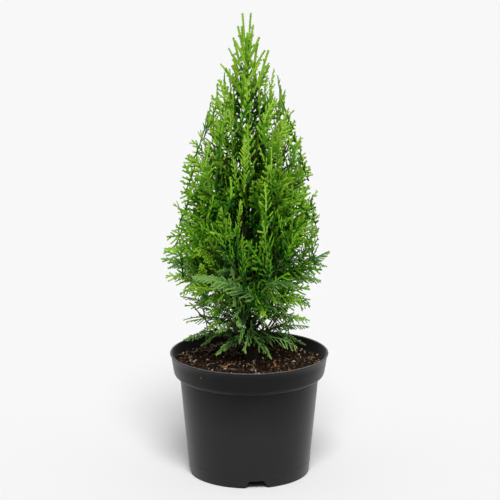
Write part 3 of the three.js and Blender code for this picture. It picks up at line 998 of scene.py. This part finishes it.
def grow_outer(rng):
    """Plumes that stand out from the crown's side all round, and hang below the skirt's height."""
    lowest, highest = CROWN_FOOT + OUTER.above_foot, SHOOTS_FROM - OUTER.below_shoots
    for i in range(OUTER.count):
        z = lowest + (highest - lowest) * (i + 0.5) / OUTER.count
        angle = GOLDEN_ANGLE * i
        hanging = z < SKIRT_BELOW
        rise = rng.uniform(*OUTER.rise) * (-OUTER.hang if hanging else 1)
        share = OUTER.skirt_share if hanging else OUTER.share
        ends = []
        for height, turn in ((z, angle), (z + rise, angle + rng.normal(0, 0.25))):
            out = level_at(turn)
            ends.append(trunk_at(height) + out * share * reach_at(height))
        base, tip = ends
        way = unit(tip - base)
        form = zone_at((base[2] + tip[2]) / 2)
        if hanging and rng.random() < 0.5:
            form.update(COMB)
        form["reach"] *= rng.uniform(0.5, 0.9)
        facing = turned(out, way, rng.normal(0.3, 0.5))
        start_way = unit(way - 0.25 * out + np.cross(UP, out) * rng.normal(0, 0.3))
        # Painted shade: the hanging plumes, under the crown, get a darker green.
        light = (0.56 if hanging else 0.68) + rng.normal(0, 0.07)
        grow_plume(rng, base, start_way, tip, facing, form, light, hanging, gaps=False)
        limb_to(trunk_at(base[2] - 24 * MM), base, way, 4 * MM, 3 * MM, 1.0 * MM)




def grow_shoots(rng):
    """The green stem that goes on from the trunk, and single shoots up to or into the top masses."""
    form = zone_at(TREE_TOP)
    for turn in range(4):
        shift = 0.9 * MM * level_at(math.pi / 2 * turn)
        base = trunk_at(TREE_TOP - 118 * MM) + shift
        tip = trunk_at(TREE_TOP - (20 + 5 * turn) * MM) + shift
        grow_shoot(rng, form, base, tip, unit(tip - base), 4, 0.86)
    taken = []
    for name in MASSES:
        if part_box(name)[1][2] < SHOOTS_FROM:
            continue
        for tip in surface_targets(rng, name, SHOOT_SPACING, taken, SHOOTS_FROM, 1.0):
            out, reach = outward_at(tip)
            below = (TREE_TOP - tip[2]) / MM
            tip = tip - out * reach * rng.uniform(0, 0.3)
            length = rng.uniform(16, 34) * MM + 0.3 * reach
            aside = np.cross(UP, out) * rng.normal(0, 0.3) * reach
            base = trunk_at(tip[2] - length) + out * rng.uniform(0.2, 0.5) * reach + aside
            way = unit(tip - base)
            teeth = int(rng.integers(0, 4) + below / 14)
            grow_shoot(rng, form, base, tip, unit(way + 0.3 * UP), teeth, 0.88 + rng.normal(0, 0.05))
            limb_to(trunk_at(base[2] - 14 * MM), base, way, 2 * MM, 3 * MM, 0.9 * MM, 0.7 * MM)


def grow_shoot(rng, form, base, tip, heading, teeth, light):
    """A single long shoot with a few short branchlets."""
    span = np.linalg.norm(tip - base)
    gap = span / (teeth + 1) if teeth else span
    sparse = dict(form, gap=gap, reach=0.14 + 0.012 * teeth, second=0.3, round=1.7)
    out = unit(tip - base)
    facing = unit(np.cross(out, np.array([1.0, 0, 0]))) if abs(out[0]) < 0.99 else np.array([0, 1.0, 0])
    flat = turned(facing, out, rng.normal(0, 0.5))
    grow_plume(rng, base, unit(heading + rng.normal(0, 0.06, 3)), tip, flat, sparse, light, fade=-0.14)


def grow_crown():
    """All the green and the twigs, from the masses outwards, joined into pieces."""
    rng = np.random.default_rng(11)
    taken = []
    for name in MASSES:
        grow_mass(rng, name, taken)
    grow_skirt(rng)
    grow_inside(rng)
    grow_outer(rng)
    grow_shoots(rng)
    leaf_pieces()
    bark = mottled("twig_bark", (0.03, 0.032, 0.01), 0.8, 0.15, 400, 0.2 * MM, low=0.6, high=1.4)
    new_object("twigs", strand_mesh("twigs", TWIGS, sides=6), bark, "bark")


def leaf_pieces():
    """Joins the strands of each green into pieces of under 200,000 triangles."""
    most = 190_000  # triangles
    for tone, strands in LEAVES.items():
        color, slot = GREENS[tone]
        material = mottled(f"leaves_{tone}", color, 0.55, 0.1, 260, 0.3 * MM, low=0.85, high=1.15)
        parts = max(1, math.ceil(triangles_in(strands) / most))
        for i in range(parts):
            name = f"leaves_{tone}_{i + 1}"
            new_object(name, strand_mesh(name, strands[i::parts]), material, slot)
    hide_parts(*MASSES)


# ---- trunk and boughs


def bark_tube(line, radii, sides, seed, lobes=0.0):
    """Vertices and quads round a line, roughened by long ridges and narrow cracks."""
    tangents = unit(np.gradient(line, axis=0))
    helper = np.array([1.0, 0, 0])
    across = unit(np.cross(tangents, helper))
    upward = np.cross(tangents, across)
    along = np.concatenate([[0], np.cumsum(np.linalg.norm(np.diff(line, axis=0), axis=1))])
    rings = []
    for i, (point, radius) in enumerate(zip(line, radii)):
        for k in range(sides):
            angle = 2 * math.pi * k / sides
            x, y = math.cos(angle), math.sin(angle)
            coarse = noise_at(3.2 * x + seed, 3.2 * y, along[i] * 70)
            fine = noise_at(8 * x, 8 * y + seed, along[i] * 220)
            flare = lobes * math.exp(-along[i] / (9 * MM)) * math.cos(5 * angle + seed)
            rough = 1 + 0.13 * (coarse + 0.5 * fine) + flare
            rings.append(point + (across[i] * x + upward[i] * y) * radius * rough)
    return np.array(rings), ring_quads(len(line), sides)


def trunk_tubes():
    """The trunk and, once more over its dark one, the foremost bough, in the same bark."""
    top = TREE_TOP - 122 * MM  # the green stem goes on from here
    heights = np.arange(TRUNK_FOOT - 2.5 * MM, top, 1.1 * MM)
    slimmer = np.interp(heights, [top - 60 * MM, top], [1, 0.6])
    radii = np.interp(heights, RINGS[:, 0], RINGS[:, 3]) * slimmer
    foremost = min(BOUGHS, key=lambda name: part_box(name)[0][1])
    line = bezier(*bough_line(foremost), np.linspace(0, 1, 24))[0]
    bough = bark_tube(line, np.linspace(1.9, 1.2, 24) * MM, 12, 40.5)
    return [(36, bark_tube(trunk_at(heights), radii, 36, 0, lobes=0.16)), (12, bough)]


def bough_tubes():
    """The boughs and the spines inside the masses."""
    tubes = []
    for i, name in enumerate(BOUGHS):
        foot, bow, tip = bough_line(name)
        line = bezier(foot, bow, tip, np.linspace(0, 1, 16))[0]
        spine = spine_of(name.replace("bough_", "mass_"))
        spine = spine[: 2 if "leader" in name else 4 if "top" in name else None]
        thick = float(np.interp(foot[2], RINGS[:, 0], RINGS[:, 3]))
        line = np.concatenate([line, spine[1:]])
        radii = np.linspace(max(0.8 * MM, 0.42 * thick), 0.6 * MM, len(line))
        tubes.append((12, bark_tube(line, radii, 12, i + 1.5)))
    return tubes


def bark_mesh(name, tubes):
    """Tubes of bark, each with its number of sides, joined into one mesh with closed ends."""
    vertices, quads, start = [], [], 0
    ends = []
    for sides, (points, faces) in tubes:
        vertices.append(points)
        quads.append(faces + start)
        ends.append((start + np.arange(sides)[::-1], start + len(points) - sides + np.arange(sides)))
        start += len(points)
    caps = [np.array([ring]) for pair in ends for ring in pair]
    return mesh_from(name, np.concatenate(vertices), [np.concatenate(quads), *caps])


def build_bark():
    """The trunk in fibrous bark, painted dark at its foot as the shade under the foliage, and the dark
    boughs.
    """
    material, tree, shader = principled("bark", (0.2, 0.09, 0.04), 0.85, 0.2)
    fibre = noise_node(tree, 420, 4, (1, 1, 0.16))
    stops = [(0.3, (0.12, 0.05, 0.022)), (0.5, (0.56, 0.28, 0.11)), (0.72, (0.72, 0.42, 0.18))]
    painted_shade_below, light_above = 285 * MM, 320 * MM
    up = ranged(tree, height_of(tree), painted_shade_below, light_above)
    dark, light = color_mix(tree, up, shader.inputs["Base Color"])
    # Painted shade: below this height the trunk, shaded by the foliage, is painted near black.
    dark.default_value = (0.022, 0.014, 0.009, 1)
    color_by(tree, fibre.outputs["Fac"], stops, light)
    bump_by(tree, fibre, shader, 0.7, 0.5 * MM)
    new_object("bark", bark_mesh("bark", trunk_tubes()), material, "bark", "trunk")
    dark = mottled("bough_bark", (0.05, 0.03, 0.014), 0.85, 0.15, 420, 0.3 * MM, (1, 1, 0.3), 0.5, 1.5)
    new_object("bough_bark", bark_mesh("bough_bark", bough_tubes()), dark, "bark", *BOUGHS)


# ---- stage, light and camera


def stage_piece(name, material, make, **sizes):
    """One shape made by a bmesh operator, as part of the stage."""
    shape = bmesh.new()
    make(shape, segments=96, **sizes)
    mesh = mesh_of(shape, name)
    mesh.materials.append(material)
    placed(name, mesh)


def build_stage():
    """A plain pale floor and, far out, a pale wall all round, which shows only in low views."""
    floor, wall, wall_height = 14, 13, 3.2  # radii and height in metres
    white, _, _ = principled("floor_white", (0.86, 0.86, 0.86), 0.9, 0.1)
    stage_piece("floor", white, bmesh.ops.create_circle, cap_ends=True, radius=floor)
    glowing, _, shader = principled("wall_white", (0.03, 0.03, 0.03), 0.9, 0.0)
    shader.inputs["Emission Color"].default_value = (1, 1, 1, 1)
    shader.inputs["Emission Strength"].default_value = 0.92
    sizes = {"cap_ends": False, "radius1": wall, "radius2": wall, "depth": wall_height}
    stage_piece("wall", glowing, bmesh.ops.create_cone, **sizes)


def build_light():
    """A white studio, darker towards the front, and one broad soft light from above."""
    world = bpy.data.worlds.new("studio")
    bpy.context.scene.world = world
    world.use_nodes = True
    tree = world.node_tree
    background = tree.nodes["Background"]
    background.inputs["Strength"].default_value = 0.5
    place = tree.nodes.new("ShaderNodeTexCoord")
    towards = tree.nodes.new("ShaderNodeVectorMath")
    towards.operation = "DOT_PRODUCT"
    towards.inputs[1].default_value = (0, -1, 0)
    tree.links.new(place.outputs["Generated"], towards.inputs[0])
    behind, in_front = (0.765, 0.765, 0.765), (0.22, 0.22, 0.22)
    stops = [(0.2, behind), (0.8, in_front)]
    color_by(tree, towards.outputs["Value"], stops, background.inputs["Color"])
    sun = bpy.data.lights.new("key", "SUN")
    sun.energy = 2.94
    sun.angle = math.radians(26)
    shining = Vector((-0.06, 0.7, -1.0))  # the way the light falls
    placed("key", sun).rotation_euler = shining.to_track_quat("-Z", "Y").to_euler()


def build_camera():
    """A long lens 2 m in front, a little above the plant, looking down at its middle."""
    data = bpy.data.cameras.new("camera")
    data.sensor_width = 36
    data.lens = 139.6
    camera = placed("camera", data)
    down = 12.93  # degrees
    camera.location = (0.85 * MM, -2.0, 0.7025)
    camera.rotation_euler = (math.radians(90 - down), 0, 0)
    bpy.context.scene.camera = camera


bpy.context.scene.view_settings.view_transform = "Standard"
build_camera()
build_stage()
build_light()
build_pot()
build_soil()
build_bark()
grow_crown()
